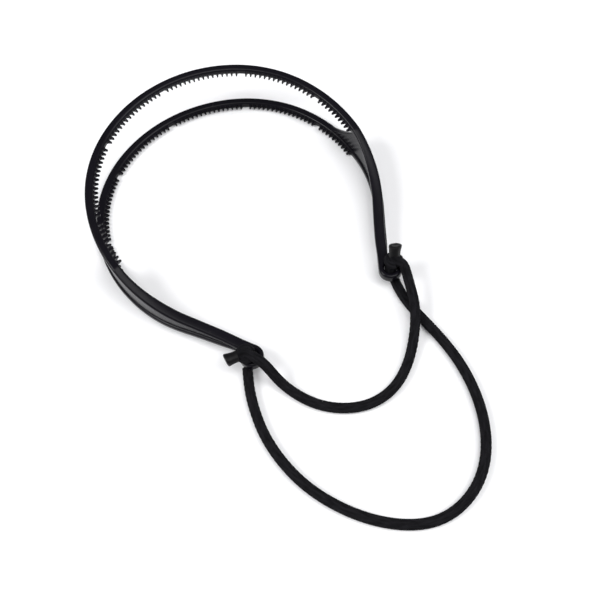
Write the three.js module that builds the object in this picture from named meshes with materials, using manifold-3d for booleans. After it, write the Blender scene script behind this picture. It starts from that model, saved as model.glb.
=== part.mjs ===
// Double-arch comb headband with two braided elastic cords.
//
// Frame: millimetres, +Z up. The headband lies flat, with the lower arch on z = 0. +X runs from ear
// to ear, +Y from the open ends to the crown. The origin is under the middle of the moulding's box.

import * as THREE from 'three';
import { mergeVertices } from 'three/addons/utils/BufferGeometryUtils.js';
import Module from 'manifold-3d';

const wasm = await Module();
wasm.setup();

// ---------------------------------------------------------------- driving dimensions

// Plan of one half of the hoop, from the crown to the eyelet: three arcs that turn inwards, and the
// end of the leg, which bends slightly outwards. Radii are those of the middle of the band.
const CROWN_RADIUS = 66.5;
const CROWN_LENGTH = 35;
const SHOULDER_RADIUS = 60.6;
const SHOULDER_LENGTH = 40;
const SIDE_RADIUS = 71.8;
const SIDE_LENGTH = 70;
const LEG_RADIUS = 600;
const LEG_LENGTH = 33.4;

const BAND_THICKNESS = 3.8; // across the band, towards the head
const BAND_DEPTH = 3.4; // along Z on the lower arch
const BAND_EDGE = 0.8; // chamfer that stands for the rounded edges
const OPENING_ANGLE = THREE.MathUtils.degToRad(6.9); // slope of the upper arch against the lower one

const CROTCH_AT = 108; // length along the band from the crown to where the two arches join
const CROTCH_HEIGHT = 20.8; // full height of a leg at the crotch
const FLOOR_TAPER = 1.5; // how quickly a leg's lower edge rises from the crotch
const ROOF_TAPER = 1.8; // how quickly its upper edge falls
const LEG_SWELL_IN = 0.8; // how much a leg's inner face grows towards the head
const LEG_SWELL_OUT = 0.2; // how much its outer face grows outwards
const LEG_SWELL_RUN = 30; // length over which it grows, from the crotch
const LEG_RAIL = 3.0; // height of the thick rail along each edge of a leg
const LEG_GROOVE = 0.7; // how far the web between the rails is sunk on each side

const GUSSET_RUN = 36; // the lower arch rises towards a leg over this length
const GUSSET_THICKNESS = 2.2;
const GUSSET_HEADROOM = 1.0; // left under the upper arch at the crotch
const GUSSET_STEPS = 10;

const TOOTH_PITCH = 2.4;
const TOOTH_LENGTH = 2.2;
const TOOTH_ROOT = 1.5; // width of a tooth at the band
const TOOTH_TIP = 0.6;
const TOOTH_SINK = 0.6; // how far a tooth reaches into the band
const TEETH_PER_GROUP = 16;
const TEETH_STOP = 2.0; // the last tooth stands at least this far from the crotch

const CORD_DIAMETER = 4.5;
const BORE_PLAY = 0.55; // between the cord and the eyelet's bore, all round
const CORD_ROOM = 0.5; // between the cord on the table and an eyelet's underside
const EYELET_BORE = CORD_DIAMETER + 2 * BORE_PLAY;
const EYELET_LIFT = CORD_DIAMETER + CORD_ROOM; // from the table to the underside of the eyelet
const EYELET_WALL = 2.4;
const EYELET_HEIGHT = 4.4;

const CORD_SIDES = 8;
const CORD_STEP = 2 * CORD_DIAMETER; // length of one straight piece of a cord's tube
const DROP_FOOT = 0.1; // height above the table of the cord's lowest point under an eyelet
const KNOT_WIDTH = 9.6;
const KNOT_HEIGHT = 6.4;
const KNOT_DOME = 3.6; // from the knot's widest level to its top
const KNOT_SHIFT_OUT = 2.2; // the knot sits off the bore, outwards
const KNOT_SHIFT_BACK = 0.8; // and towards the crown
const TAIL_LENGTH = 3.4;
const TAIL_DIAMETER = 5.6;
const TAIL_ROUND = 0.9;
const TAIL_NECK = 0.35; // share of the sealed end that keeps the cord's width
const TAIL_SWOLLEN = 0.6; // share at which it has swollen to its full width
const TAIL_TOWARDS = { 1: [0.35, 0.5, 0.79], [-1]: [-0.93, 0.36, 0.05] };

const GAP = 0.3; // between solids that touch on the real object
const FLEX_GAP = 0.8; // lets the upper arch tilt against the legs
const BLOCK_WIDTH = 300; // cutting blocks are wider than the hoop
const BLOCK_MARGIN = 20;
const OVERCUT = 1; // how far a cut runs past what it cuts
const WELD = 1e-4; // points nearer than this are one point
const BLOCK_STEPS = 24;
const BAND_STEPS = 56;
const STRIP_STEPS = 14;
const ROUND_SIDES = 28; // around an eyelet
const DROP_SIDES = 12;
const TAIL_SIDES = 14;
const KNOT_SIDES = 16;
const KNOT_ROWS = 10;

// ---------------------------------------------------------------- plan of the hoop

const PLAN_ARCS = [
  { radius: CROWN_RADIUS, length: CROWN_LENGTH },
  { radius: SHOULDER_RADIUS, length: SHOULDER_LENGTH },
  { radius: SIDE_RADIUS, length: SIDE_LENGTH },
  { radius: -LEG_RADIUS, length: LEG_LENGTH },
];
const HALF_LENGTH = CROWN_LENGTH + SHOULDER_LENGTH + SIDE_LENGTH + LEG_LENGTH;

// Point of the band's middle line at a length from the crown (negative towards -X), and its heading:
// the angle by which the band has turned from +X towards -Y.
function planPoint(length) {
  const side = Math.sign(length) || 1;
  let left = Math.abs(length);
  let x = 0;
  let y = 0;
  let heading = 0;
  for (const arc of PLAN_ARCS) {
    const run = Math.min(left, arc.length);
    const next = heading + run / arc.radius;
    x += arc.radius * (Math.sin(next) - Math.sin(heading));
    y += arc.radius * (Math.cos(next) - Math.cos(heading));
    heading = next;
    left -= run;
  }
  return { x: side * x, y, side, heading };
}

// The same point moved outwards, away from the head, by an offset.
function planOffset(length, offset) {
  const at = planPoint(length);
  const x = at.x + at.side * offset * Math.sin(at.heading);
  const y = at.y + offset * Math.cos(at.heading);
  return new THREE.Vector2(x, y);
}

const EYELET_RADIUS = EYELET_BORE / 2 + EYELET_WALL;
const EYELET_TOP = EYELET_LIFT + EYELET_HEIGHT;
const crotch = planPoint(CROTCH_AT);

// Distance of a leg's face from the middle line at a length from the crown. It is the band's at the
// crotch and grows by a swell from there.
function legFace(length, swell) {
  const share = THREE.MathUtils.smoothstep(length, CROTCH_AT, CROTCH_AT + LEG_SWELL_RUN);
  return BAND_THICKNESS / 2 + swell * share;
}

function innerFace(length) {
  return -legFace(length, LEG_SWELL_IN);
}

function outerFace(length) {
  return legFace(length, LEG_SWELL_OUT);
}

// The eyelet stands outwards of the leg, with its wall flush with the leg's inner face.
function eyeletCentre(side) {
  return planOffset(side * HALF_LENGTH, EYELET_RADIUS + innerFace(HALF_LENGTH));
}

const crownEdge = BAND_THICKNESS / 2;
const eyeletEdge = eyeletCentre(1).y - EYELET_RADIUS;
const CENTRE_Y = (crownEdge + eyeletEdge) / 2;

// ---------------------------------------------------------------- solids and booleans

function toSolid(geometry) {
  const bare = geometry.index ? geometry.toNonIndexed() : geometry.clone();
  bare.deleteAttribute('normal');
  bare.deleteAttribute('uv');
  const merged = mergeVertices(bare, WELD);
  const mesh = new wasm.Mesh({
    numProp: 3,
    vertProperties: new Float32Array(merged.attributes.position.array),
    triVerts: new Uint32Array(merged.index.array),
  });
  mesh.merge();
  return new wasm.Manifold(mesh);
}

function toGeometry(solid) {
  const mesh = solid.getMesh();
  const geometry = new THREE.BufferGeometry();
  geometry.setAttribute('position', new THREE.BufferAttribute(mesh.vertProperties, 3));
  geometry.setIndex(new THREE.BufferAttribute(mesh.triVerts, 1));
  geometry.computeVertexNormals();
  return geometry;
}

// ---------------------------------------------------------------- arches

// Middle line of an arch in the plane z = 0, out to a reach on each side of the crown.
class ArchLine extends THREE.Curve {
  constructor(reach) {
    super();
    this.reach = reach;
  }

  getPoint(t, target = new THREE.Vector3()) {
    const at = planPoint((2 * t - 1) * this.reach);
    return target.set(at.x, at.y, 0);
  }

  getPointAt(t, target) {
    return this.getPoint(t, target);
  }
}

// Section of the band, a rectangle with its corners cut: x runs along Z, y across the band.
function bandSection() {
  const x = BAND_DEPTH / 2;
  const y = BAND_THICKNESS / 2;
  const cut = BAND_EDGE;
  const corners = [
    [x, y - cut], [x - cut, y], [cut - x, y], [-x, y - cut],
    [-x, cut - y], [cut - x, -y], [x - cut, -y], [x, cut - y],
  ];
  return new THREE.Shape(corners.map(([a, b]) => new THREE.Vector2(a, b)));
}

// Places of the teeth: groups along each half, with one tooth left out between groups and one at
// the crown.
function toothPlaces() {
  const half = [];
  for (let i = 1; i * TOOTH_PITCH < CROTCH_AT - TEETH_STOP; i += 1) {
    if (i % (TEETH_PER_GROUP + 1) > 0) {
      half.push(i * TOOTH_PITCH);
    }
  }
  return [...half.map((place) => -place), ...half];
}

// One tooth: a four-sided peg that tapers towards the head.
function tooth(place) {
  const length = TOOTH_LENGTH + TOOTH_SINK;
  const peg = new THREE.CylinderGeometry(TOOTH_ROOT / Math.SQRT2, TOOTH_TIP / Math.SQRT2, length, 4);
  peg.rotateY(Math.PI / 4);
  const at = planPoint(place);
  const middle = planOffset(place, TOOTH_SINK - BAND_THICKNESS / 2 - length / 2);
  peg.rotateZ(-at.side * at.heading);
  peg.translate(middle.x, middle.y, 0);
  return toSolid(peg);
}

// An arch that stops short of its two crotches by a clearance, with anything that stands on it.
function archGeometry(clearance, added = []) {
  const band = new THREE.ExtrudeGeometry(bandSection(), {
    steps: BAND_STEPS,
    extrudePath: new ArchLine(CROTCH_AT - clearance),
    bevelEnabled: false,
  });
  const teeth = toothPlaces().map(tooth);
  return toGeometry(wasm.Manifold.union([toSolid(band), ...teeth, ...added]));
}

// ---------------------------------------------------------------- legs

// Outline in plan of a strip that follows the leg between two faces, each given as its distance from
// the middle line at a length from the crown.
function stripOutline(side, from, to, inner, outer) {
  const near = [];
  const far = [];
  for (let i = 0; i <= STRIP_STEPS; i += 1) {
    const length = THREE.MathUtils.lerp(from, to, i / STRIP_STEPS);
    near.push(planOffset(side * length, inner(length)));
    far.push(planOffset(side * length, outer(length)));
  }
  return new THREE.Shape([...near, ...far.reverse()]);
}

// A block across the whole hoop, whose outline is given in (y, z).
function acrossBlock(outline) {
  const block = new THREE.ExtrudeGeometry(outline, { depth: BLOCK_WIDTH, bevelEnabled: false });
  block.rotateY(Math.PI / 2);
  block.rotateX(Math.PI / 2);
  block.translate(-BLOCK_WIDTH / 2, 0, 0);
  return toSolid(block);
}

// A solid over a floor and under a roof that close on each other from the crotch to the eyelet,
// quickly at first. inset moves both faces inwards, and the solid ends where they would meet.
function taperedBlock(inset) {
  const run = crotch.y - eyeletCentre(1).y;
  const openness = (back) => Math.max(0, 1 - Math.max(0, back) / run);
  const floorAt = (back) => inset + EYELET_LIFT * (1 - openness(back) ** FLOOR_TAPER);
  const drop = CROTCH_HEIGHT - EYELET_TOP;
  const roofAt = (back) => EYELET_TOP - inset + drop * openness(back) ** ROOF_TAPER;
  const low = [];
  const high = [];
  for (let i = 0; i <= BLOCK_STEPS; i += 1) {
    const back = THREE.MathUtils.lerp(-BLOCK_MARGIN, run + BLOCK_MARGIN, i / BLOCK_STEPS);
    if (roofAt(back) - floorAt(back) > GAP) {
      low.unshift(new THREE.Vector2(crotch.y - back, floorAt(back)));
      high.push(new THREE.Vector2(crotch.y - back, roofAt(back)));
    }
  }
  return acrossBlock(new THREE.Shape([...low, ...high]));
}

function extrudeUp(shape, low, high) {
  const geometry = new THREE.ExtrudeGeometry(shape, { depth: high - low, bevelEnabled: false });
  geometry.translate(0, 0, low);
  return toSolid(geometry);
}

function upright(radius, low, high, centre) {
  const geometry = new THREE.CylinderGeometry(radius, radius, high - low, ROUND_SIDES);
  geometry.rotateX(Math.PI / 2);
  geometry.translate(centre.x, centre.y, (low + high) / 2);
  return toSolid(geometry);
}

// The thin wall that rises out of the lower arch towards a leg, as the cube of what is left of its
// run. Its z = 0 is the middle of the band.
function gusset(side) {
  const half = GUSSET_THICKNESS / 2;
  const end = CROTCH_AT - GAP / 2;
  const outline = stripOutline(side, CROTCH_AT - GUSSET_RUN, end, () => -half, () => half);
  const far = planPoint(CROTCH_AT - GUSSET_RUN).y;
  const height = CROTCH_HEIGHT - 2 * BAND_DEPTH - GUSSET_HEADROOM;
  const roof = [];
  for (let i = 0; i <= GUSSET_STEPS; i += 1) {
    const left = i / GUSSET_STEPS;
    const y = THREE.MathUtils.lerp(far, crotch.y, left);
    roof.push(new THREE.Vector2(y, BAND_DEPTH / 2 + height * left ** 3));
  }
  const margin = crotch.y - BLOCK_MARGIN;
  const sideView = [...roof, new THREE.Vector2(margin, roof.at(-1).y), new THREE.Vector2(margin, 0)];
  sideView.push(new THREE.Vector2(far, 0));
  return extrudeUp(outline, 0, CROTCH_HEIGHT).intersect(acrossBlock(new THREE.Shape(sideView)));
}

// A leg: a strip with a rail along each edge and a thinner web between, and the eyelet at its end.
function legGeometry(side) {
  const start = CROTCH_AT + GAP / 2;
  const grooveStart = start + LEG_RAIL;
  const grooveEnd = HALF_LENGTH - EYELET_RADIUS - LEG_RAIL;
  const wall = (from, to, inner, outer) => (
    extrudeUp(stripOutline(side, from, to, inner, outer), -OVERCUT, CROTCH_HEIGHT + OVERCUT)
  );
  const strip = wall(start, HALF_LENGTH, innerFace, outerFace).intersect(taperedBlock(0));
  const outerGroove = wall(
    grooveStart,
    grooveEnd,
    (length) => outerFace(length) - LEG_GROOVE,
    (length) => outerFace(length) + OVERCUT,
  );
  const innerGroove = wall(
    grooveStart,
    grooveEnd,
    (length) => innerFace(length) - OVERCUT,
    (length) => innerFace(length) + LEG_GROOVE,
  );
  const grooves = outerGroove.add(innerGroove).intersect(taperedBlock(LEG_RAIL));
  const centre = eyeletCentre(side);
  const ring = upright(EYELET_RADIUS, EYELET_LIFT, EYELET_TOP, centre);
  const bore = upright(EYELET_BORE / 2, EYELET_LIFT - OVERCUT, EYELET_TOP + OVERCUT, centre);
  return toGeometry(strip.subtract(grooves).add(ring).subtract(bore));
}

// ---------------------------------------------------------------- cords

// Middle lines of the free cords, from the right eyelet to the left one, in the headband's frame.
// The short cord leaves the knots on top of the eyelets and crosses over the long one.
const SHORT_CORD_ROUTE = [
  [40.7, -70.3, 11.7], [39.9, -72.9, 11.0], [38.7, -76.1, 9.8], [37.3, -79.9, 8.7],
  [35.6, -84.1, 7.8], [33.3, -87.9, 7.1], [30.8, -91.5, 6.0], [28.0, -94.8, 4.6],
  [25.0, -97.9, 3.4], [21.6, -101.0, 2.6], [18.0, -103.9, 2.35], [14.0, -106.5, 2.35],
  [9.4, -108.9, 2.35], [4.0, -110.6, 2.35], [-1.6, -111.1, 2.35], [-7.2, -110.4, 2.35],
  [-12.8, -108.3, 2.35], [-18.6, -104.7, 2.35], [-24.4, -99.1, 2.35], [-28.6, -92.1, 2.35],
  [-31.2, -85.3, 2.6], [-32.8, -80.1, 4.6], [-33.9, -76.3, 8.8], [-35.0, -72.9, 12.0],
  [-36.1, -70.2, 12.3],
];

const LONG_CORD_ROUTE = [
  [36.9, -68.7, 2.35], [35.6, -73.3, 2.35], [34.6, -79.9, 2.35], [34.6, -86.7, 2.35],
  [35.1, -93.5, 2.35], [35.5, -100.5, 2.35], [35.6, -107.5, 2.35], [35.2, -114.7, 2.35],
  [34.1, -122.1, 2.35], [32.1, -130.1, 2.35], [29.0, -138.3, 2.35], [24.6, -146.5, 2.35],
  [18.0, -154.9, 2.35], [9.6, -161.3, 2.35], [0.2, -164.8, 2.35], [-9.3, -165.5, 2.35],
  [-18.0, -163.3, 2.35], [-26.2, -158.3, 2.35], [-34.2, -150.7, 2.35], [-41.0, -141.3, 2.35],
  [-46.6, -130.1, 2.35], [-50.0, -118.5, 2.35], [-51.1, -107.3, 2.35], [-50.8, -97.3, 2.35],
  [-48.9, -87.9, 2.35], [-45.4, -76.9, 2.35], [-40.2, -67.3, 2.35],
];

function roundSection(radius, sides) {
  const corners = [];
  for (let i = 0; i < sides; i += 1) {
    const turn = ((i + 0.5) / sides) * 2 * Math.PI;
    corners.push(new THREE.Vector2(radius * Math.cos(turn), radius * Math.sin(turn)));
  }
  return new THREE.Shape(corners);
}

function cordGeometry(route) {
  const line = new THREE.CatmullRomCurve3(route.map((point) => new THREE.Vector3(...point)));
  return new THREE.ExtrudeGeometry(roundSection(CORD_DIAMETER / 2, CORD_SIDES), {
    steps: Math.round(line.getLength() / CORD_STEP),
    extrudePath: line,
    bevelEnabled: false,
  });
}

// Middle of an eyelet in the headband's frame.
function eyeletPlace(side) {
  const centre = eyeletCentre(side);
  return new THREE.Vector3(centre.x, centre.y - CENTRE_Y, 0);
}

// The stretch of cord that goes down through an eyelet.
function dropGeometry(side) {
  const place = eyeletPlace(side);
  const length = EYELET_TOP - DROP_FOOT;
  const drop = new THREE.CylinderGeometry(CORD_DIAMETER / 2, CORD_DIAMETER / 2, length, DROP_SIDES);
  drop.rotateX(Math.PI / 2);
  drop.translate(place.x, place.y, DROP_FOOT + length / 2);
  return drop;
}

function knotCentre(side) {
  const place = eyeletPlace(side);
  return new THREE.Vector3(
    place.x + side * KNOT_SHIFT_OUT,
    place.y + KNOT_SHIFT_BACK,
    EYELET_TOP + GAP + KNOT_HEIGHT - KNOT_DOME,
  );
}

// A knot: a squat round lump with a flat underside that bears on its eyelet.
function knotGeometry(side) {
  const centre = knotCentre(side);
  const lump = new THREE.SphereGeometry(1, KNOT_SIDES, KNOT_ROWS);
  lump.rotateX(Math.PI / 2);
  lump.scale(KNOT_WIDTH / 2, KNOT_WIDTH / 2, KNOT_DOME);
  lump.translate(centre.x, centre.y, centre.z);
  const room = 2 * KNOT_WIDTH;
  const above = new THREE.BoxGeometry(room, room, room);
  above.translate(centre.x, centre.y, EYELET_TOP + GAP + room / 2);
  return toGeometry(toSolid(lump).intersect(toSolid(above)));
}

// The sealed end that stands out of a knot: a short round stub whose rim is swollen by melting.
function tailGeometry(side) {
  const towards = new THREE.Vector3(...TAIL_TOWARDS[side]).normalize();
  const flat = KNOT_WIDTH / 2;
  const reach = Math.hypot(flat * towards.x, flat * towards.y, KNOT_DOME * towards.z) + GAP;
  const neck = CORD_DIAMETER / 2;
  const rim = TAIL_DIAMETER / 2;
  const profile = [
    [0, 0], [neck, 0], [neck, TAIL_LENGTH * TAIL_NECK], [rim, TAIL_LENGTH * TAIL_SWOLLEN],
    [rim, TAIL_LENGTH - TAIL_ROUND], [rim - TAIL_ROUND, TAIL_LENGTH], [0, TAIL_LENGTH],
  ];
  const stub = new THREE.LatheGeometry(profile.map(([r, h]) => new THREE.Vector2(r, h)), TAIL_SIDES);
  const turn = new THREE.Quaternion().setFromUnitVectors(new THREE.Vector3(0, 1, 0), towards);
  stub.applyQuaternion(turn);
  const foot = knotCentre(side).addScaledVector(towards, reach);
  stub.translate(foot.x, foot.y, foot.z);
  return stub;
}

// ---------------------------------------------------------------- assembly

const FINISHES = {
  moulding: { color: 0x0b0b0d, roughness: 0.25, metalness: 0 },
  braid: { color: 0x0e0e10, roughness: 0.9, metalness: 0 },
  sealed: { color: 0x09090a, roughness: 0.5, metalness: 0 },
};

const headband = new THREE.Group();
headband.name = 'comb_headband';

function addPart(parent, name, geometry, finish) {
  const mesh = new THREE.Mesh(geometry, new THREE.MeshStandardMaterial(FINISHES[finish]));
  mesh.name = name;
  parent.add(mesh);
  return mesh;
}

const moulding = new THREE.Group();
moulding.position.y = -CENTRE_Y;
headband.add(moulding);

const gussets = [gusset(-1), gusset(1)];
const lowerArch = addPart(moulding, 'lower_arch', archGeometry(GAP / 2, gussets), 'moulding');
lowerArch.position.z = BAND_DEPTH / 2;

const upperPlane = new THREE.Group();
upperPlane.position.set(0, crotch.y, CROTCH_HEIGHT - BAND_DEPTH / 2);
upperPlane.rotation.x = OPENING_ANGLE;
moulding.add(upperPlane);
const upperArch = addPart(upperPlane, 'upper_arch', archGeometry(FLEX_GAP), 'moulding');
upperArch.position.y = -crotch.y;

for (const [side, word] of [[-1, 'left'], [1, 'right']]) {
  addPart(moulding, `${word}_leg`, legGeometry(side), 'moulding');
  addPart(headband, `${word}_eyelet_cord`, dropGeometry(side), 'braid');
  addPart(headband, `${word}_knot`, knotGeometry(side), 'braid');
  addPart(headband, `${word}_sealed_end`, tailGeometry(side), 'sealed');
}

addPart(headband, 'short_cord', cordGeometry(SHORT_CORD_ROUTE), 'braid');
addPart(headband, 'long_cord', cordGeometry(LONG_CORD_ROUTE), 'braid');

export default headband;
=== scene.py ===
"""Comb headband: a glossy double-arch hoop with comb teeth, and two braided elastic cord loops.

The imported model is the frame. Every visible piece is worked out here as a surface in metres, in the
model's own frame: the headband lies flat, +X runs from ear to ear and +Y from the open ends to the
crown.
"""

import logging
import math
from dataclasses import dataclass, field
from enum import Enum
from typing import Any

import bpy
import numpy as np
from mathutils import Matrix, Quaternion, Vector


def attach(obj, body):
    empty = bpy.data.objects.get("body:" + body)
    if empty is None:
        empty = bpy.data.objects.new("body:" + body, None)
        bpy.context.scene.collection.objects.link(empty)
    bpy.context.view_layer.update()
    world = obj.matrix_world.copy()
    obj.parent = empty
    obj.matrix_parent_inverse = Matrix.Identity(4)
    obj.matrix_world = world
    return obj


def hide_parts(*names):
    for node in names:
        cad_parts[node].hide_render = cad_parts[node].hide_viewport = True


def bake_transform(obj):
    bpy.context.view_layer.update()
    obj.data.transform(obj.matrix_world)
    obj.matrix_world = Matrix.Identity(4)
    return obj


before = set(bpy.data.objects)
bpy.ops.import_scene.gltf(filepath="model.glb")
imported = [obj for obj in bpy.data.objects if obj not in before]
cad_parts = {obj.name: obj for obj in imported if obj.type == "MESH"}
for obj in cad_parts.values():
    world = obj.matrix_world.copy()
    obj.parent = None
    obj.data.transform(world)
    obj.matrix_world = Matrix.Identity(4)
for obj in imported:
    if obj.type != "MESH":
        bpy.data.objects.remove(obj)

MM = 0.001
FIXED = "frame_and_cords"
log = logging.getLogger("headband")


# ------------------------------------------------------------------ numbers and vectors


def smoothstep(values: np.ndarray) -> np.ndarray:
    """Cubic ramp from 0 to 1: 3t^2 - 2t^3, held at its ends.

    Args:
        values: the ramp's parameter, 0 at its start and 1 at its end.

    Returns:
        The ramp's height at each parameter.
    """
    held = np.clip(values, 0.0, 1.0)
    return held * held * (3.0 - 2.0 * held)


def unit(vectors: np.ndarray) -> np.ndarray:
    """Vectors divided by their own lengths."""
    return vectors / np.linalg.norm(vectors, axis=-1, keepdims=True)


def smooth_line(points: np.ndarray, step: float) -> np.ndarray:
    """Smooth curve near a list of points: a cubic B-spline, resampled at even steps.

    The first and last points are mirrored outwards, so that the curve starts and ends on them.

    Args:
        points: control points, one row each.
        step: distance between neighbouring points of the result.

    Returns:
        Points of the curve, one row each.
    """
    first = 2.0 * points[0] - points[1]
    last = 2.0 * points[-1] - points[-2]
    control = np.vstack([first, points, last])
    spans = len(control) - 3
    place = np.linspace(0.0, spans, 24 * spans + 1)
    span = np.minimum(place.astype(int), spans - 1)
    t = (place - span)[:, None]
    weights = (
        (1.0 - t) ** 3,
        3.0 * t**3 - 6.0 * t**2 + 4.0,
        -3.0 * t**3 + 3.0 * t**2 + 3.0 * t + 1.0,
        t**3,
    )
    dense = sum(weight * control[span + k] for k, weight in enumerate(weights)) / 6.0
    run = np.concatenate([[0.0], np.cumsum(np.linalg.norm(np.diff(dense, axis=0), axis=1))])
    even = np.linspace(0.0, run[-1], max(8, int(round(run[-1] / step))) + 1)
    return np.stack([np.interp(even, run, dense[:, k]) for k in range(3)], axis=1)


def rounded_rectangle(half_x: np.ndarray, half_y: np.ndarray, radius: float, corner: int) -> np.ndarray:
    """Rectangles with round corners: corner centres plus a circle of the corner's radius.

    Args:
        half_x: half width of each rectangle.
        half_y: half height of each rectangle.
        radius: radius of the corners.
        corner: points on each corner.

    Returns:
        Array (rectangles, 4 * corner, 2), anticlockwise.
    """
    quarter = np.linspace(0.0, math.pi / 2.0, corner)
    turns = (quarter[None, :] + np.arange(4)[:, None] * math.pi / 2.0).ravel()
    sign_x = np.repeat([1.0, -1.0, -1.0, 1.0], corner)
    sign_y = np.repeat([1.0, 1.0, -1.0, -1.0], corner)
    x = (half_x[:, None] - radius) * sign_x + radius * np.cos(turns)
    y = (half_y[:, None] - radius) * sign_y + radius * np.sin(turns)
    return np.stack([x, y], axis=-1)


def section_with_radius(
    half_x: np.ndarray, half_y: np.ndarray, radius: np.ndarray, corner: int
) -> np.ndarray:
    """Round-cornered rectangles whose corner radius changes from one to the next.

    Args:
        half_x: half width of each.
        half_y: half height of each.
        radius: corner radius of each.
        corner: points on each corner.

    Returns:
        Array (rectangles, 4 * corner, 2), anticlockwise.
    """
    scaled = rounded_rectangle(half_x / radius, half_y / radius, 1.0, corner)
    return scaled * radius[:, None, None]


# ------------------------------------------------------------------ surfaces


@dataclass
class Surface:
    """A closed surface: points, faces, and optionally a pair of UV numbers for each face corner."""

    points: np.ndarray
    quads: np.ndarray
    caps: list[list[int]] = field(default_factory=list)
    uv: np.ndarray | None = None

    def volume(self) -> float:
        """Signed volume: the sum over quads of p0 . (p1 x p2 + p2 x p3) / 6, about the middle."""
        corners = (self.points - self.points.mean(axis=0))[self.quads]
        first = np.cross(corners[:, 1], corners[:, 2])
        second = np.cross(corners[:, 2], corners[:, 3])
        return float((corners[:, 0] * (first + second)).sum() / 6.0)

    def piece(self, name: str, material: bpy.types.Material, sharp_deg: float = 50.0) -> bpy.types.Object:
        """Makes the Blender object, with its faces pointing outwards.

        Args:
            name: the object's name.
            material: its finish.
            sharp_deg: edges that turn by more than this stay sharp.

        Returns:
            The new object, linked to the scene.
        """
        turned = self.volume() < 0.0
        quads = self.quads[:, ::-1] if turned else self.quads
        caps = [cap[::-1] for cap in self.caps] if turned else self.caps
        mesh = bpy.data.meshes.new(name)
        mesh.from_pydata(self.points.tolist(), [], quads.tolist() + caps)
        if self.uv is not None:
            corners = self.uv[:, ::-1] if turned else self.uv
            flat = np.zeros((len(mesh.loops), 2), np.float32)
            flat[: corners.shape[0] * 4] = corners.reshape(-1, 2)
            mesh.uv_layers.new(name="along_and_round").data.foreach_set("uv", flat.ravel())
        mesh.shade_smooth()
        mesh.set_sharp_from_angle(angle=math.radians(sharp_deg))
        mesh.materials.append(material)
        obj = bpy.data.objects.new(name, mesh)
        bpy.context.scene.collection.objects.link(obj)
        return obj


def ring_quads(rings: int, around: int, closed: bool = False) -> np.ndarray:
    """Quads that join each ring of points to the next one.

    Args:
        rings: how many rings there are.
        around: points on each ring.
        closed: joins the last ring to the first one too.

    Returns:
        Array (quads, 4) of point numbers.
    """
    steps = rings if closed else rings - 1
    ring, at = np.meshgrid(np.arange(steps), np.arange(around), indexing="ij")
    beside = (at + 1) % around
    after = (ring + 1) % rings
    corners = (ring * around + at, ring * around + beside, after * around + beside, after * around + at)
    return np.stack(corners, axis=-1).reshape(-1, 4)


def stack_rings(rings: np.ndarray) -> Surface:
    """Closed surface through a stack of rings, with a flat cap on the first and the last.

    Args:
        rings: array (rings, around, 3).

    Returns:
        The surface.
    """
    count, around, _ = rings.shape
    start = list(range(around))[::-1]
    end = [(count - 1) * around + k for k in range(around)]
    return Surface(rings.reshape(-1, 3), ring_quads(count, around), [start, end])


def sweep(path: np.ndarray, across: np.ndarray, up: np.ndarray, section: np.ndarray) -> Surface:
    """Carries a section along a path: point + x * across + y * up for each section point (x, y).

    Args:
        path: points (n, 3).
        across: unit vectors (n, 3) for the section's x.
        up: unit vectors (n, 3) for the section's y.
        section: array (n, around, 2).

    Returns:
        The closed surface.
    """
    x = section[..., 0:1] * across[:, None, :]
    y = section[..., 1:2] * up[:, None, :]
    return stack_rings(path[:, None, :] + x + y)


def revolve(profile: np.ndarray, centre: np.ndarray, segments: int) -> Surface:
    """Turns a closed profile of (radius, height) once about a vertical axis through centre.

    Args:
        profile: points (n, 2) of a closed outline that stays clear of the axis.
        centre: the point on the axis at height 0.
        segments: steps in the full turn.

    Returns:
        The closed ring-shaped surface.
    """
    turn = np.linspace(0.0, 2.0 * math.pi, segments, endpoint=False)[:, None]
    x = profile[None, :, 0] * np.cos(turn)
    y = profile[None, :, 0] * np.sin(turn)
    z = np.broadcast_to(profile[None, :, 1], x.shape)
    rings = np.stack([x, y, z], axis=-1) + centre
    return Surface(rings.reshape(-1, 3), ring_quads(segments, len(profile), closed=True))


# ------------------------------------------------------------------ shader writing


class Value:
    """A number in a shader: wraps a node's output socket, and arithmetic on it adds Math nodes."""

    def __init__(self, shader: "Shader", socket: bpy.types.NodeSocket) -> None:
        """Keeps the socket and the shader that it belongs to."""
        self.shader = shader
        self.socket = socket

    def _math(self, operation: str, *operands: Any) -> "Value":
        """Adds one Math node."""
        values = {k: operand for k, operand in enumerate(operands)}
        return self.shader.node("ShaderNodeMath", {"operation": operation}, values)

    def __add__(self, other: Any) -> "Value":
        """self + other."""
        return self._math("ADD", self, other)

    __radd__ = __add__

    def __sub__(self, other: Any) -> "Value":
        """self - other."""
        return self._math("SUBTRACT", self, other)

    def __mul__(self, other: Any) -> "Value":
        """self * other."""
        return self._math("MULTIPLY", self, other)

    __rmul__ = __mul__

    def __pow__(self, other: Any) -> "Value":
        """self to the power other."""
        return self._math("POWER", self, other)

    def held(self) -> "Value":
        """self, held between 0 and 1."""
        return self._math("MINIMUM", self._math("MAXIMUM", self, 0.0), 1.0)

    def wave(self) -> "Value":
        """Wave between 0 and 1: (1 + sin(2 pi self)) / 2."""
        return self._math("SINE", self * (2.0 * math.pi)) * 0.5 + 0.5


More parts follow.
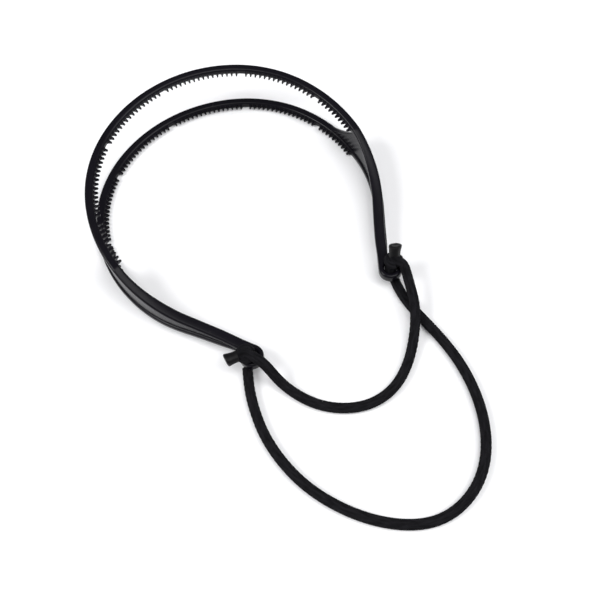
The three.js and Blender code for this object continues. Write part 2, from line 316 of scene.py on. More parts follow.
class Shader:
    """A node material under construction."""

    def __init__(self, name: str) -> None:
        """Starts a material that holds only a Principled shader and its output."""
        self.material = bpy.data.materials.new(name)
        self.material.use_nodes = True
        self.tree = self.material.node_tree
        self.surface = self.tree.nodes["Principled BSDF"]

    def node(
        self,
        kind: str,
        settings: dict[str, Any] | None = None,
        values: dict[Any, Any] | None = None,
        output: int | str = 0,
    ) -> Value:
        """Adds a node.

        Args:
            kind: the node's type.
            settings: its properties; "stops" gives a colour ramp's (place, grey) pairs.
            values: numbers, tuples or Values for its input sockets.
            output: which output socket to give back.

        Returns:
            The output socket as a Value.
        """
        made = self.tree.nodes.new(kind)
        for key, setting in (settings or {}).items():
            if key == "stops":
                ramp = made.color_ramp.elements
                for element, (place, grey) in zip(ramp, setting):
                    element.position = place
                    element.color = (grey, grey, grey, 1.0)
            else:
                setattr(made, key, setting)
        for key, value in (values or {}).items():
            self.put(made.inputs[key], value)
        return Value(self, made.outputs[output])

    def put(self, socket: bpy.types.NodeSocket, value: Any) -> None:
        """Links a Value to a socket, or sets the socket's own number or colour."""
        if isinstance(value, Value):
            self.tree.links.new(value.socket, socket)
        else:
            socket.default_value = value

    def set(self, **inputs: Any) -> None:
        """Fills the Principled shader's sockets; an underscore in a name stands for a space."""
        for key, value in inputs.items():
            self.put(self.surface.inputs[key.replace("_", " ")], value)

    def mix(self, factor: Value, first: tuple, second: tuple) -> Value:
        """Colour between two colours: first where factor is 0 and second where it is 1."""
        settings = {"data_type": "RGBA"}
        return self.node("ShaderNodeMix", settings, {0: factor, 6: first, 7: second}, output=2)

    def noise(self, coordinates: Value, scale: float, detail: float = 2.0) -> Value:
        """Noise between 0 and 1 with features of about 1 / scale."""
        values = {"Vector": coordinates, "Scale": scale, "Detail": detail}
        return self.node("ShaderNodeTexNoise", {"noise_dimensions": "3D"}, values)

    def bump(self, height: Value, distance: float, strength: float) -> None:
        """Sends a height in units of distance to the surface's normal."""
        values = {"Height": height, "Distance": distance, "Strength": strength}
        self.set(Normal=self.node("ShaderNodeBump", {}, values))

    def part(self, vector: Value, index: int) -> Value:
        """One coordinate of a vector: 0, 1 or 2 for x, y or z."""
        return self.node("ShaderNodeSeparateXYZ", {}, {"Vector": vector}, output=index)

    def place(self) -> Value:
        """Object coordinates."""
        return self.node("ShaderNodeTexCoord", {}, {}, output="Object")


@dataclass(frozen=True)
class GlossyMoulding:
    """Injection-moulded black plastic: a clear gloss, faint flow streaks and fine handling haze."""

    dark: tuple = (0.0030, 0.0027, 0.0042, 1.0)
    light: tuple = (0.0070, 0.0062, 0.0095, 1.0)
    gloss: float = 0.2
    haze: float = 0.14
    flow_scale: float = 60.0
    haze_scale: float = 240.0
    grain_scale: float = 2600.0

    def material(self) -> bpy.types.Material:
        """Builds the material: noise sets the tint and the haze, and a fine grain the bump."""
        shader = Shader("glossy_moulding")
        place = shader.place()
        flow = shader.noise(place, self.flow_scale, 3.0)
        haze = shader.noise(place, self.haze_scale, 4.0)
        shader.set(
            Base_Color=shader.mix(flow, self.dark, self.light),
            Roughness=self.gloss + haze**2 * self.haze,
            IOR=1.5,
            Specular_IOR_Level=0.14,
        )
        shader.bump(shader.noise(place, self.grain_scale), 0.00002, 0.25)
        return shader.material


@dataclass(frozen=True)
class BraidedSleeve:
    """Matte black braid over elastic: fine lines of the yarns along both families of strands, lint, and
    paler streaks drawn out along the cord, which are a painted highlight: the yarns' sheen painted into the
    colour.
    """

    strands: float = 12.0
    lay: float = 0.0142
    yarns: float = 4.0
    streaks: float = 5.0
    drawn_out: float = 0.25
    dark: tuple = (0.0005, 0.0005, 0.0006, 1.0)
    light: tuple = (0.0170, 0.0165, 0.0195, 1.0)

    def material(self) -> bpy.types.Material:
        """Builds the material.

        Yarn lines run at strands * (round +- along / lay) turns. The streaks are a painted highlight that
        lightens the colour: noise on a circle round the cord, so that they close up, stretched along it.
        """
        shader = Shader("braided_sleeve")
        uv = shader.node("ShaderNodeUVMap", {"uv_map": "along_and_round"}, {})
        turn = shader.part(uv, 1)
        along = shader.part(uv, 0) * (self.strands / self.lay)
        around = turn * self.strands
        right = ((around + along) * self.yarns).wave()
        left = ((around - along) * self.yarns).wave()
        lint = shader.noise(shader.place(), 1500.0, 3.0)
        ring = {
            0: turn.wave() * self.streaks,
            1: (turn + 0.25).wave() * self.streaks,
            2: along * self.drawn_out,
        }
        # painted highlight: paler streaks along the cord stand in for the yarns' sheen
        painted_highlight_streak = shader.noise(shader.node("ShaderNodeCombineXYZ", {}, ring), 1.0, 3.0)
        # colour mix of the yarn lines, lint and the painted highlight streaks; the bump uses it too
        yarn_lint_and_highlight = right * left * 0.25 + lint * 0.2 + (painted_highlight_streak * 2.4 - 0.7).held() * 0.55
        shader.set(
            Base_Color=shader.mix(yarn_lint_and_highlight, self.dark, self.light),
            Roughness=0.78 + lint * 0.2,
            Specular_IOR_Level=0.06,
        )
        shader.bump(yarn_lint_and_highlight, 0.00006, 0.6)
        return shader.material


@dataclass(frozen=True)
class MeltedEnd:
    """Cord end melted shut: hard, half-glossy, pitted and slightly brown-black."""

    dark: tuple = (0.0010, 0.0009, 0.0010, 1.0)
    light: tuple = (0.0060, 0.0056, 0.0064, 1.0)

    def material(self) -> bpy.types.Material:
        """Builds the material: noise sets the colour and the gloss, and a coarser one the pits."""
        shader = Shader("melted_end")
        place = shader.place()
        drift = shader.noise(place, 420.0, 4.0)
        pits = shader.noise(place, 1400.0, 3.0)
        shader.set(
            Base_Color=shader.mix(drift, self.dark, self.light),
            Roughness=0.3 + pits * 0.35,
            IOR=1.5,
            Specular_IOR_Level=0.15,
        )
        shader.bump(pits, 0.00012, 0.5)
        return shader.material


@dataclass(frozen=True)
class PaleFloor:
    """Plain pale studio floor."""

    tone: tuple = (0.93, 0.93, 0.94, 1.0)

    def material(self) -> bpy.types.Material:
        """Builds the material: one pale tone with the faintest unevenness."""
        shader = Shader("pale_floor")
        cloud = shader.noise(shader.place(), 3.0)
        other = tuple(0.99 * part for part in self.tone[:3]) + (1.0,)
        shader.set(Base_Color=shader.mix(cloud, self.tone, other), Roughness=0.9)
        return shader.material


# ------------------------------------------------------------------ the moulding


@dataclass(frozen=True)
class HoopPlan:
    """Plan of the band's middle line: on each side of the crown, a chain of arcs."""

    radii: tuple = (66.5 * MM, 60.6 * MM, 71.8 * MM, -600 * MM)
    lengths: tuple = (35 * MM, 40 * MM, 70 * MM, 33.4 * MM)
    crotch: float = 108 * MM
    thickness: float = 3.8 * MM
    swell_in: float = 0.8 * MM
    swell_out: float = 0.2 * MM
    swell_run: float = 30 * MM
    eyelet_bore: float = 5.6 * MM
    eyelet_wall: float = 2.4 * MM

    @property
    def half_length(self) -> float:
        """Length from the crown to the middle of an eyelet."""
        return sum(self.lengths)

    @property
    def eyelet_radius(self) -> float:
        """Outer radius of an eyelet."""
        return self.eyelet_bore / 2.0 + self.eyelet_wall

    def swell(self, along: np.ndarray) -> np.ndarray:
        """How far a leg has grown from the band's thickness to its own, between 0 and 1."""
        return smoothstep((np.abs(along) - self.crotch) / self.swell_run)

    def inner(self, along: np.ndarray) -> np.ndarray:
        """Distance of the face towards the head from the middle line."""
        return self.thickness / 2.0 + self.swell_in * self.swell(along)

    def outer(self, along: np.ndarray) -> np.ndarray:
        """Distance of the outer face from the middle line."""
        return self.thickness / 2.0 + self.swell_out * self.swell(along)

    @property
    def eyelet_reach(self) -> float:
        """Distance of an eyelet's axis from the middle line."""
        return self.eyelet_radius - float(self.inner(np.array([self.half_length]))[0])

    def raw(self, along: np.ndarray, offset: Any = 0.0) -> tuple[np.ndarray, np.ndarray, np.ndarray]:
        """Plan places with the crown at y = 0.

        Each arc adds radius * (sin b - sin a) to x and radius * (cos b - cos a) to y, where a and b
        are the headings at its two ends, and the heading grows by length / radius.

        Args:
            along: lengths from the crown, negative towards -X.
            offset: distance outwards from the middle line.

        Returns:
            x, y and the heading.
        """
        side = np.where(along < 0.0, -1.0, 1.0)
        left = np.abs(along)
        x = np.zeros_like(left)
        y = np.zeros_like(left)
        heading = np.zeros_like(left)
        for radius, length in zip(self.radii, self.lengths):
            following = heading + np.minimum(left, length) / radius
            x = x + radius * (np.sin(following) - np.sin(heading))
            y = y + radius * (np.cos(following) - np.cos(heading))
            heading = following
            left = np.maximum(left - length, 0.0)
        x = side * (x + offset * np.sin(heading))
        return x, y + offset * np.cos(heading), side * heading

    @property
    def middle(self) -> float:
        """Height in plan of the middle of the moulding's box."""
        middle = self.raw(np.array([self.half_length]), self.eyelet_reach)[1][0]
        end = middle - self.eyelet_radius
        return (self.thickness / 2.0 + end) / 2.0

    def at(self, along: np.ndarray, offset: Any = 0.0) -> tuple[np.ndarray, np.ndarray, np.ndarray]:
        """Plan places and headings in the model's frame, as raw() gives them."""
        x, y, heading = self.raw(along, offset)
        return x, y - self.middle, heading

    def eyelet(self, side: float) -> np.ndarray:
        """Middle of an eyelet in plan, at height 0."""
        x, y, _ = self.at(np.array([side * self.half_length]), self.eyelet_reach)
        return np.array([x[0], y[0], 0.0])


@dataclass(frozen=True)
class Profile:
    """Heights of the moulding: flat lower arch, tilted upper arch and tapering legs."""

    plan: HoopPlan
    band_depth: float = 3.4 * MM
    rail_height: float = 3.0 * MM
    crotch_height: float = 20.8 * MM
    tilt: float = math.radians(6.9)
    floor_taper: float = 1.5
    roof_taper: float = 1.8
    eyelet_lift: float = 5.0 * MM
    eyelet_height: float = 4.4 * MM
    ease: float = 5.0 * MM

    @property
    def eyelet_top(self) -> float:
        """Height of an eyelet's upper face."""
        return self.eyelet_lift + self.eyelet_height

    @property
    def crotch_y(self) -> float:
        """Place in plan of the two crotches."""
        return float(self.plan.at(np.array([self.plan.crotch]))[1][0])

    def legs(self, y: np.ndarray) -> tuple[np.ndarray, np.ndarray]:
        """Lower and upper edge of the legs: both close on the eyelet as powers of what is left.

        Args:
            y: places along the headband.

        Returns:
            Heights of the lower and the upper edge.
        """
        run = self.crotch_y - self.plan.eyelet(1.0)[1]
        left = np.clip(1.0 - np.maximum(self.crotch_y - y, 0.0) / run, 0.0, 1.0)
        low = self.eyelet_lift * (1.0 - left**self.floor_taper)
        high = self.eyelet_top + (self.crotch_height - self.eyelet_top) * left**self.roof_taper
        return low, high

    def bar_depth(self, along: np.ndarray) -> np.ndarray:
        """Height of the bar: the band's on the arches, easing to the rail's on the legs."""
        past = smoothstep((np.abs(along) - self.plan.crotch) / (3.0 * self.ease))
        return self.band_depth + (self.rail_height - self.band_depth) * past

    def lower_line(self, along: np.ndarray, offset: Any = 0.0) -> np.ndarray:
        """Middle line of the lower arch and of the legs' lower rails."""
        x, y, _ = self.plan.at(along, offset)
        low, _ = self.legs(y)
        return np.stack([x, y, low + self.bar_depth(along) / 2.0], axis=1)

    def upper_line(self, along: np.ndarray, offset: Any = 0.0) -> np.ndarray:
        """Middle line of the upper arch and of the legs' upper rails.

        The arch's points are turned by the tilt about the line that joins the two crotches, and the
        bend there is eased by weighing the two straight slopes with a smooth step.
        """
        x, y, _ = self.plan.at(along, offset)
        reach = y - self.crotch_y
        hinge = self.crotch_height - self.band_depth / 2.0
        _, high = self.legs(y)
        leg = np.stack([x, y, high - self.bar_depth(along) / 2.0], axis=1)
        tilted = self.crotch_y + reach * math.cos(self.tilt)
        arch = np.stack([x, tilted, hinge + reach * math.sin(self.tilt)], axis=1)
        share = smoothstep((self.plan.crotch - np.abs(along)) / self.ease + 0.5)[:, None]
        return arch * share + leg * (1.0 - share)

    def upper_axes(self, along: np.ndarray) -> tuple[np.ndarray, np.ndarray]:
        """Outward and upward unit vectors of the upper bar, tilted on the arch and level on the legs."""
        share = smoothstep((self.plan.crotch - np.abs(along)) / (2.0 * self.ease) + 0.5)
        heading = self.plan.at(along)[2]
        tilt = self.tilt * share
        out = np.stack([np.sin(heading), np.cos(heading) * np.cos(tilt), np.cos(heading) * np.sin(tilt)], 1)
        up = np.stack([np.zeros_like(tilt), -np.sin(tilt), np.cos(tilt)], axis=1)
        return out, up

    def lower_axes(self, along: np.ndarray) -> tuple[np.ndarray, np.ndarray]:
        """Outward and upward unit vectors of the lower bar."""
        heading = self.plan.at(along)[2]
        out = np.stack([np.sin(heading), np.cos(heading), np.zeros_like(heading)], axis=1)
        up = np.broadcast_to(np.array([0.0, 0.0, 1.0]), out.shape)
        return out, up


def side_word(side: float) -> str:
    """left for the side towards -X and right for the other."""
    return "left" if side < 0.0 else "right"


def dress(piece: bpy.types.Object, node: str) -> None:
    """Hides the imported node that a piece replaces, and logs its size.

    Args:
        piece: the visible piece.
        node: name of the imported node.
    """
    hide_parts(node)
    log.info("%s: %d points", piece.name, len(piece.data.vertices))


class Level(Enum):
    """The two arches of the hoop."""

    LOWER = "lower"
    UPPER = "upper"


@dataclass
class Arch:
    """One arch with its rails along the legs, and its comb."""

    level: Level
    profile: Profile
    finish: bpy.types.Material
    corner_radius: float = 1.05 * MM
    step: float = 0.9 * MM
    tooth_pitch: float = 2.4 * MM
    tooth_length: float = 2.2 * MM
    tooth_root: float = 2.0 * MM
    tooth_tip: float = 0.9 * MM
    valley_share: float = 0.35
    blunt_share: float = 0.15
    lean: float = 0.4 * MM
    lean_fade: float = 12.0 * MM
    groups: tuple = (16, 16, 10)
    flex_from: float = -1.0 * MM
    flex_to: float = 14.0 * MM

    def line(self, along: np.ndarray) -> np.ndarray:
        """Middle line of this arch's bar."""
        upper = self.level is Level.UPPER
        return self.profile.upper_line(along) if upper else self.profile.lower_line(along)

    def axes(self, along: np.ndarray) -> tuple[np.ndarray, np.ndarray]:
        """Outward and upward unit vectors of this arch's bar."""
        upper = self.level is Level.UPPER
        return self.profile.upper_axes(along) if upper else self.profile.lower_axes(along)

    def bar(self) -> Surface:
        """Bar of the arch and rails: a round-cornered rectangle carried from eyelet to eyelet.

        Beside an eyelet the bar's outer face draws back to the wall round the bore: the distance
        from the bore's axis is the root of the wall's middle radius squared less the distance
        along the leg squared. Between its ends a leg leans: its lower rail stands outwards.
        """
        plan = self.profile.plan
        reach = plan.half_length
        along = np.linspace(-reach, reach, int(2.0 * reach / self.step) + 1)
        beside = reach - np.abs(along)
        wall = plan.eyelet_bore / 2.0 + 0.25 * plan.eyelet_wall
        clear = np.sqrt(np.maximum(wall**2 - beside**2, 0.0))
        inner = plan.inner(along)
        outer = plan.outer(along)
        outer = np.where(beside < wall, np.minimum(outer, plan.eyelet_reach - clear), outer)
        width = (outer + inner) / 2.0
        depth = self.profile.bar_depth(along) / 2.0
        radius = np.minimum(self.corner_radius, 0.98 * np.minimum(width, depth))
        section = section_with_radius(width, depth, radius, 6)
        aside = self.lean if self.level is Level.LOWER else -self.lean
        lean = aside * plan.swell(along) * smoothstep(beside / self.lean_fade - 0.4)
        section[..., 0] += ((outer - inner) / 2.0 + lean)[:, None]
        out, up = self.axes(along)
        return sweep(self.line(along), out, up, section)

    def tooth_numbers(self) -> np.ndarray:
        """Places of the teeth in pitches from the crown: groups with one tooth left out between."""
        numbers = []
        place = 1
        for count in self.groups:
            numbers.extend(range(place, place + count))
            place += count + 1
        half = np.array(numbers)
        return np.concatenate([-half[::-1], half])

    def comb(self) -> Surface:
        """Comb: a strip on the band's inner face whose depth follows teeth and round valleys.

        Within half a pitch of a tooth, at a share u of the pitch from its middle, the depth is
        length * (1 - sqrt(1 - q^2)) with q = (0.5 - u) / valley share, up to the full length.
        """
        steps = np.array([0.0, 0.06, 0.12, 0.15, 0.165, 0.185, 0.21, 0.245, 0.29, 0.35, 0.43])
        offsets = np.concatenate([-steps[:0:-1], steps])
        last = sum(self.groups) + len(self.groups)
        cells = np.arange(-last, last + 1)
        is_tooth = np.isin(cells, self.tooth_numbers())
        share = np.broadcast_to(np.abs(offsets), (len(cells), len(offsets)))
        q = np.clip((0.5 - share) / self.valley_share, 0.0, 1.0)
        depth = self.tooth_length * (1.0 - np.sqrt(1.0 - q**2)) * is_tooth[:, None]
        tip = 1.0 - 0.15 * np.minimum(share / self.blunt_share, 1.0) ** 3
        depth = (depth * tip).ravel()
        along = ((cells[:, None] + offsets) * self.tooth_pitch).ravel()
        face = self.profile.plan.thickness / 2.0
        buried = 0.75 * face
        height = np.linspace(0.0, 1.0, 5)
        inward = buried + (face - 0.1 * MM + depth - buried)[:, None] * height
        thick = self.tooth_tip + (self.tooth_root - self.tooth_tip) * (
            1.0 - np.clip((inward - face) / self.tooth_length, 0.0, 1.0)
        )
        x = np.concatenate([-inward, -inward[:, -1:] - 0.12 * MM, -inward[:, ::-1]], axis=1)
        point = np.zeros_like(thick[:, -1:])
        z = np.concatenate([thick / 2.0, point, -thick[:, ::-1] / 2.0], axis=1)
        out, up = self.axes(along)
        return sweep(self.line(along), out, up, np.stack([x, z], axis=-1))

    def build(self) -> list[bpy.types.Object]:
        """Makes the bar and the comb, dressed; the lower arch's ride on the fixed body, the upper arch's
        are baked in place.
        """
        node = f"{self.level.value}_arch"
        bar = self.bar().piece(f"{self.level.value}_band", self.finish)
        comb = self.comb().piece(f"{self.level.value}_comb", self.finish, sharp_deg=75.0)
        crotch_y = self.profile.crotch_y
        height = self.profile.crotch_height
        root = (0.0, crotch_y + self.flex_from, height)
        free = (0.0, crotch_y + self.flex_to, height)
        for piece in (bar, comb):
            dress(piece, node)
            if self.level is Level.UPPER:
                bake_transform(piece)
            else:
                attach(piece, FIXED)
        return [bar, comb]


@dataclass
class Leg:
    """The web between a leg's two rails, and the eyelet at the leg's end."""

    side: float
    profile: Profile
    finish: bpy.types.Material
    web_thickness: float = 2.2 * MM
    web_swell: float = 1.0 * MM
    gusset: float = 36.0 * MM
    rim_radius: float = 1.0 * MM

    def web(self) -> Surface:
        """Web: level slices with a round front edge, between the two rails' middle lines.

        A slice at a share u^3 of the height starts at crotch - gusset * (1 - u), so the web rises
        out of the lower arch along a cubic curve and meets the upper one at the crotch.
        """
        plan = self.profile.plan
        rise = np.linspace(0.0, 1.0, 37)[:, None]
        share = rise**3
        front = plan.crotch - self.gusset * (1.0 - rise)
        end = plan.half_length - 0.6 * plan.eyelet_radius
        nose = np.linspace(-math.pi / 2.0, math.pi / 2.0, 9)
        thin = self.web_thickness / 2.0
        back = front + thin + (end - front - thin) * np.linspace(0.0, 1.0, 48)[1:]
        forth = front + thin - thin * np.cos(nose)
        along = np.concatenate([forth, back, back[:, ::-1]], axis=1)
        half = thin + self.web_swell / 2.0 * plan.swell(back)
        tip = np.broadcast_to(thin * np.sin(nose), forth.shape)
        offset = np.concatenate([tip, half, -half[:, ::-1]], axis=1)
        shape = along.shape
        flat = self.side * along.ravel()
        low = self.profile.lower_line(flat, offset.ravel()).reshape(*shape, 3)
        high = self.profile.upper_line(flat, offset.ravel()).reshape(*shape, 3)
        return stack_rings(low + (high - low) * share[..., None])

    def eyelet(self) -> Surface:
        """Eyelet: a ring with round rims."""
        plan = self.profile.plan
        wall = np.array([plan.eyelet_wall / 2.0])
        tall = np.array([self.profile.eyelet_height / 2.0])
        outline = rounded_rectangle(wall, tall, self.rim_radius, 7)[0]
        middle = (plan.eyelet_radius - plan.eyelet_wall / 2.0, self.profile.eyelet_lift + tall[0])
        return revolve(outline + np.array(middle), plan.eyelet(self.side), 72)

    def build(self) -> list[bpy.types.Object]:
        """Makes the web and the eyelet, dressed and riding on the fixed body."""
        word = side_word(self.side)
        made = [
            self.web().piece(f"{word}_web", self.finish),
            self.eyelet().piece(f"{word}_eyelet", self.finish),
        ]
        for piece in made:
            dress(piece, f"{word}_leg")
            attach(piece, FIXED)
        return made


# ------------------------------------------------------------------ the cords


@dataclass(frozen=True)
class Braid:
    """A braided round cord: two families of strands that cross over and under each other."""

    diameter: float = 4.5 * MM
    strands: int = 12
    lay: float = 14.2 * MM
    relief: float = 0.16 * MM
    around: int = 60
    step: float = 0.25 * MM

    def height(self, run: np.ndarray, turn: np.ndarray) -> np.ndarray:
        """Relief of the strands between 0 and 1.

        Along family A the phase is strands * (turn + run / lay), and along family B it is
        strands * (turn - run / lay). A strand's back is |cos(pi * phase)|, and it is raised where
        its place along the other family is even and lowered where it is odd.

        Args:
            run: length along the cord.
            turn: turns round the cord.

        Returns:
            The larger of the two families' backs.
        """
        a = self.strands / 2.0 * (turn + run / self.lay)
        b = self.strands / 2.0 * (turn - run / self.lay)
        back_a = np.abs(np.cos(math.pi * a)) * (0.75 + 0.25 * np.cos(math.pi * (b + np.round(a))))
        back_b = np.abs(np.cos(math.pi * b)) * (0.75 - 0.25 * np.cos(math.pi * (a + np.round(b))))
        return np.maximum(back_a, back_b)

    def tube(
        self,
        path: np.ndarray,
        level: tuple = (0.0, 0.0, 1.0),
        width: Any = 1.0,
        flat: float = 1.0,
    ) -> Surface:
        """Braided tube along a path.

        Each ring's radius is half the diameter less the relief where no strand is on top.

        Args:
            path: evenly spaced points (n, 3).
            level: a direction that the path never runs along, which sets the rings' start.
            width: factor on the radius, one number or one for each point.
            flat: factor on the size across level.

        Returns:
            The closed surface, with UV in metres along and turns round.
        """
        tangent = unit(np.gradient(path, axis=0))
        across = unit(np.cross(np.array(level), tangent))
        up = np.cross(tangent, across)
        run = np.concatenate([[0.0], np.cumsum(np.linalg.norm(np.diff(path, axis=0), axis=1))])
        turn = np.arange(self.around) / self.around
        ring_run, ring_turn = np.meshgrid(run, turn, indexing="ij")
        radius = self.diameter / 2.0 - self.relief * (1.0 - self.height(ring_run, ring_turn))
        radius = radius * np.broadcast_to(np.asarray(width, float), run.shape)[:, None]
        angle = 2.0 * math.pi * ring_turn
        section = np.stack([radius * np.cos(angle), flat * radius * np.sin(angle)], axis=-1)
        surface = sweep(path, across, up, section)
        surface.uv = self.wrap_uv(run)
        return surface

    def wrap_uv(self, run: np.ndarray) -> np.ndarray:
        """UV of each quad's corners, whose last column ends at one full turn instead of at none."""
        steps, columns = np.meshgrid(np.arange(len(run) - 1), np.arange(self.around), indexing="ij")
        v0 = columns / self.around
        v1 = (columns + 1) / self.around
        u0 = run[steps]
        u1 = run[steps + 1]
        corners = [(u0, v0), (u0, v1), (u1, v1), (u1, v0)]
        return np.stack([np.stack(pair, axis=-1) for pair in corners], axis=-2).reshape(-1, 4, 2)


SHORT_CORD_ROUTE = MM * np.array([
    (40.7, -70.3, 11.7), (39.9, -72.9, 11.0), (38.7, -76.1, 9.8), (37.3, -79.9, 8.7),
    (35.6, -84.1, 7.8), (33.3, -87.9, 7.1), (30.8, -91.5, 6.0), (28.0, -94.8, 4.6),
    (25.0, -97.9, 3.4), (21.6, -101.0, 2.6), (18.0, -103.9, 2.35), (14.0, -106.5, 2.35),
    (9.4, -108.9, 2.35), (4.0, -110.6, 2.35), (-1.6, -111.1, 2.35), (-7.2, -110.4, 2.35),
    (-12.8, -108.3, 2.35), (-18.6, -104.7, 2.35), (-24.4, -99.1, 2.35), (-28.6, -92.1, 2.35),
    (-31.2, -85.3, 2.6), (-32.8, -80.1, 4.6), (-33.9, -76.3, 8.8), (-35.0, -72.9, 12.0),
    (-36.1, -70.2, 12.3),
])

LONG_CORD_ROUTE = MM * np.array([
    (36.9, -68.7, 2.35), (35.6, -73.3, 2.35), (34.6, -79.9, 2.35), (34.6, -86.7, 2.35),
    (35.1, -93.5, 2.35), (35.5, -100.5, 2.35), (35.6, -107.5, 2.35), (35.2, -114.7, 2.35),
    (34.1, -122.1, 2.35), (32.1, -130.1, 2.35), (29.0, -138.3, 2.35), (24.6, -146.5, 2.35),
    (18.0, -154.9, 2.35), (9.6, -161.3, 2.35), (0.2, -164.8, 2.35), (-9.3, -165.5, 2.35),
    (-18.0, -163.3, 2.35), (-26.2, -158.3, 2.35), (-34.2, -150.7, 2.35), (-41.0, -141.3, 2.35),
    (-46.6, -130.1, 2.35), (-50.0, -118.5, 2.35), (-51.1, -107.3, 2.35), (-50.8, -97.3, 2.35),
    (-48.9, -87.9, 2.35), (-45.4, -76.9, 2.35), (-40.2, -67.3, 2.35),
])


@dataclass
class Cord:
    """A free cord that lies along its route."""

    name: str
    route: np.ndarray
    finish: bpy.types.Material
    braid: Braid = Braid()

    def build(self, far_end: str, with_pieces: list[bpy.types.Object]) -> bpy.types.Object:
        """Args:
            far_end: what its far end is; not used.
            with_pieces: the pieces on it; not used.

        Returns:
            The cord's piece.
        """
        path = smooth_line(self.route, self.braid.step)
        piece = self.braid.tube(path).piece(f"{self.name}_sleeve", self.finish)
        dress(piece, self.name)
        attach(piece, FIXED)
        return piece


@dataclass
class KnottedEnd:
    """What holds the cords at one eyelet: a knot, the melted end out of it, and the cord below."""

    side: float
    profile: Profile
    sleeve: bpy.types.Material
    melted: bpy.types.Material
    braid: Braid = Braid()
    shift_out: float = 2.2 * MM
    shift_back: float = 0.8 * MM
    bed: float = 0.1 * MM
    half_height: float = 2.8 * MM
    turn_radius: float = 2.55 * MM
    squeeze: float = 0.86
    bulge: float = 0.2
    tail_length: float = 5.0 * MM
    tail_radius: float = 2.75 * MM
    right_tail: tuple = (0.40, 0.45, 0.79)
    left_tail: tuple = (-0.93, 0.22, -0.04)
    right_foot: float = 1.6 * MM
    left_foot: float = 3.3 * MM

    @property
    def centre(self) -> np.ndarray:
        """Middle of the knot."""
        place = self.profile.plan.eyelet(self.side)
        shift = np.array([self.side * self.shift_out, self.shift_back, 0.0])
        return place + shift + np.array([0.0, 0.0, self.profile.eyelet_top + self.bed + self.half_height])

    @property
    def tail_towards(self) -> np.ndarray:
        """Direction in which the melted end points."""
        return unit(np.array(self.right_tail if self.side > 0.0 else self.left_tail))

    @property
    def tail_foot(self) -> float:
        """Distance from the knot's middle at which the melted end starts."""
        return self.right_foot if self.side > 0.0 else self.left_foot

    def strands(self) -> list[Surface]:
        """The knot's two visible parts of the cord.

        The lower part is most of a turn round the cord that comes up through the eyelet, rising by
        a little as it goes round, and the upper part crosses over it from the melted end to where
        the short cord leaves.
        """
        route = SHORT_CORD_ROUTE if self.side > 0.0 else SHORT_CORD_ROUTE[::-1]
        leave = route[0]
        onward = unit(route[1] - route[0])
        away = unit((leave - self.centre) * np.array([1.0, 1.0, 0.0]))
        heading = math.atan2(away[1], away[0])
        turn = heading + self.side * np.linspace(0.35, 5.6, 13)
        radius = self.turn_radius
        rise = np.linspace(-0.95, -0.1, 13) * MM
        loop = np.stack([radius * np.cos(turn), radius * np.sin(turn), rise], axis=1)
        lower = self.braid.tube(
            smooth_line(self.centre + loop, self.braid.step), width=self.squeeze, flat=0.9
        )
        tail = self.tail_towards
        over = np.array([
            self.centre + tail * 3.4 * MM,
            self.centre + tail * 1.8 * MM + np.array([0.0, 0.0, 0.6]) * MM,
            self.centre + np.array([0.0, 0.0, 1.2]) * MM,
            self.centre + away * 2.4 * MM + np.array([0.0, 0.0, 0.7]) * MM,
            leave - onward * 1.6 * MM,
            leave + onward * 0.8 * MM,
        ])
        upper = self.braid.tube(smooth_line(over, self.braid.step), width=0.97)
        return [lower, upper]

    def tail(self) -> Surface:
        """Melted end: a stub whose radius swells to a rounded rim and dips in the middle of its face.

        Each ring is a circle with three shallow waves round it, so the rim isn't a true round.
        """
        towards = self.tail_towards
        start = self.centre + towards * self.tail_foot
        reach = np.array([0.0, 1.2, 2.4, 3.4, 4.2, 4.8, 5.2, 5.45, 5.55, 5.5, 5.4, 5.3]) * MM
        size = np.array([0.9, 0.9, 0.91, 0.95, 1.0, 1.03, 1.0, 0.9, 0.72, 0.5, 0.25, 0.03])
        turn = np.linspace(0.0, 2.0 * math.pi, 40, endpoint=False)
        across = unit(np.cross(towards, np.array([0.2, 0.1, 1.0])))
        up = np.cross(across, towards)
        waves = 1.0 + 0.035 * np.cos(3.0 * turn + self.side) + 0.02 * np.cos(5.0 * turn)
        radius = self.tail_radius * size[:, None] * waves[None, :]
        tilt = 0.35 * MM * smoothstep(reach / self.tail_length)[:, None] * np.cos(turn)[None, :]
        rings = (
            start
            + (reach[:, None] + tilt * size[:, None])[..., None] * towards
            + (radius * np.cos(turn))[..., None] * across
            + (radius * np.sin(turn))[..., None] * up
        )
        return stack_rings(rings)

    def below(self) -> Surface:
        """The cord through the eyelet, which turns out of the bore and along the surface."""
        place = self.profile.plan.eyelet(self.side)
        leave = LONG_CORD_ROUTE[0] if self.side > 0.0 else LONG_CORD_ROUTE[-1]
        shift = (self.centre - place) * np.array([1.0, 1.0, 0.0])
        heights = np.array([12.0, 10.8, 9.2, 7.6, 6.2, 4.9]) * MM
        aside = np.array([0.95, 0.6, 0.15, 0.0, 0.0, 0.0])
        down = place + aside[:, None] * shift + heights[:, None] * np.array([0.0, 0.0, 1.0])
        away = unit((leave - place) * np.array([1.0, 1.0, 0.0]))
        elbow = place + away * 0.5 * MM + np.array([0.0, 0.0, 3.3]) * MM
        knee = place + away * 1.6 * MM + np.array([0.0, 0.0, 2.5]) * MM
        points = np.vstack([down, elbow, knee, leave])
        level = np.cross(away, np.array([0.0, 0.0, 1.0]))
        path = smooth_line(points, self.braid.step)
        inside = smoothstep((path[:, 2] - self.profile.eyelet_lift) / (1.5 * MM))
        return self.braid.tube(path, level=tuple(level), width=1.0 + self.bulge * inside)

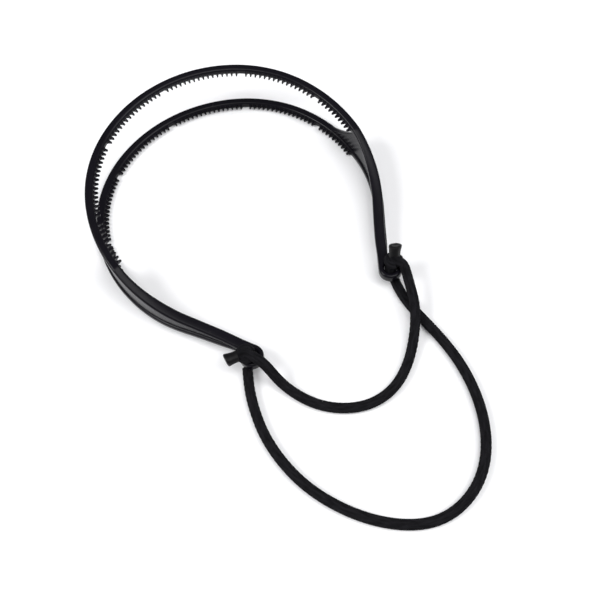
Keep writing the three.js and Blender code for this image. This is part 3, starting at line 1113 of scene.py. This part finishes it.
    def build(self) -> dict[str, list[bpy.types.Object]]:
        """Makes the pieces at this eyelet.

        Returns:
            The pieces on the short cord and those on the long cord.
        """
        word = side_word(self.side)
        lower, upper = self.strands()
        turn = lower.piece(f"{word}_knot_turn", self.sleeve)
        cross = upper.piece(f"{word}_knot_over", self.sleeve)
        end = self.tail().piece(f"{word}_melted_end", self.melted)
        drop = self.below().piece(f"{word}_cord_below", self.sleeve)
        owners = {
            turn: (f"{word}_knot", "braid"),
            cross: (f"{word}_knot", "braid"),
            end: (f"{word}_sealed_end", "sealed_end"),
            drop: (f"{word}_eyelet_cord", "braid"),
        }
        for piece, (node, slot) in owners.items():
            dress(piece, node)
            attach(piece, FIXED)
        return {"short": [turn, cross, end], "long": [drop]}


# ------------------------------------------------------------------ the studio


@dataclass
class Studio:
    """Camera, soft lights and a pale floor. The plain view transform keeps blacks black."""

    camera_place: tuple = (-93.4 * MM, -212.5 * MM, 344.1 * MM)
    aim: tuple = (-5.35 * MM, -56.5 * MM, 10 * MM)
    roll_deg: float = -5.38
    lens: float = 52.5
    floor_size: float = 6.0

    def camera(self) -> None:
        """Makes the scene's camera, aimed at a point and rolled about its line of sight."""
        data = bpy.data.cameras.new("camera")
        data.lens = self.lens
        data.sensor_width = 36.0
        data.clip_start, data.clip_end = 0.01, 20.0
        obj = bpy.data.objects.new("camera", data)
        bpy.context.scene.collection.objects.link(obj)
        obj.location = self.camera_place
        sight = Vector(self.aim) - Vector(self.camera_place)
        roll = Quaternion((0.0, 0.0, 1.0), math.radians(self.roll_deg))
        obj.rotation_mode = "QUATERNION"
        obj.rotation_quaternion = sight.to_track_quat("-Z", "Y") @ roll
        bpy.context.scene.camera = obj

    def light(self, name: str, place: tuple, size: float, watts: float) -> None:
        """Adds a square soft light that faces the headband."""
        data = bpy.data.lights.new(name, "AREA")
        data.size = size
        data.energy = watts
        obj = bpy.data.objects.new(name, data)
        bpy.context.scene.collection.objects.link(obj)
        obj.location = place
        obj.rotation_mode = "QUATERNION"
        obj.rotation_quaternion = (-Vector(place)).to_track_quat("-Z", "Y")

    def build(self, floor_finish: bpy.types.Material) -> None:
        """Makes the camera, the sky light, the soft lights and the floor."""
        self.camera()
        world = bpy.data.worlds.new("studio")
        world.use_nodes = True
        background = world.node_tree.nodes["Background"]
        background.inputs["Color"].default_value = (0.95, 0.96, 1.0, 1.0)
        background.inputs["Strength"].default_value = 0.2
        bpy.context.scene.world = world
        bpy.context.scene.view_settings.view_transform = "Standard"
        self.light("key", (-1.1, 0.35, 1.2), 0.7, 17.0)
        self.light("fill", (0.9, -1.0, 1.3), 1.0, 14.0)
        self.light("top", (0.1, -0.5, 1.9), 1.4, 22.0)
        half = self.floor_size / 2.0
        corners = half * np.array([(-1, -1, 0), (1, -1, 0), (1, 1, 0), (-1, 1, 0)], float)
        mesh = bpy.data.meshes.new("floor")
        mesh.from_pydata(corners.tolist(), [], [(0, 1, 2, 3)])
        mesh.materials.append(floor_finish)
        floor = bpy.data.objects.new("floor", mesh)
        bpy.context.scene.collection.objects.link(floor)


def main() -> None:
    """Builds the studio, the cords and the moulding."""
    logging.basicConfig(level=logging.INFO, format="%(name)s %(message)s")
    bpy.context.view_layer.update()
    Studio().build(PaleFloor().material())
    profile = Profile(HoopPlan())
    sleeve = BraidedSleeve().material()
    melted = MeltedEnd().material()
    right = KnottedEnd(1.0, profile, sleeve, melted).build()
    left = KnottedEnd(-1.0, profile, sleeve, melted).build()
    Cord("short_cord", SHORT_CORD_ROUTE, sleeve).build("knot", right["short"] + left["short"])
    Cord("long_cord", LONG_CORD_ROUTE, sleeve).build("object", right["long"] + left["long"])
    moulding = GlossyMoulding().material()
    for level in Level:
        Arch(level, profile, moulding).build()
    for side in (-1.0, 1.0):
        Leg(side, profile, moulding).build()


if __name__ == "__main__":
    main()
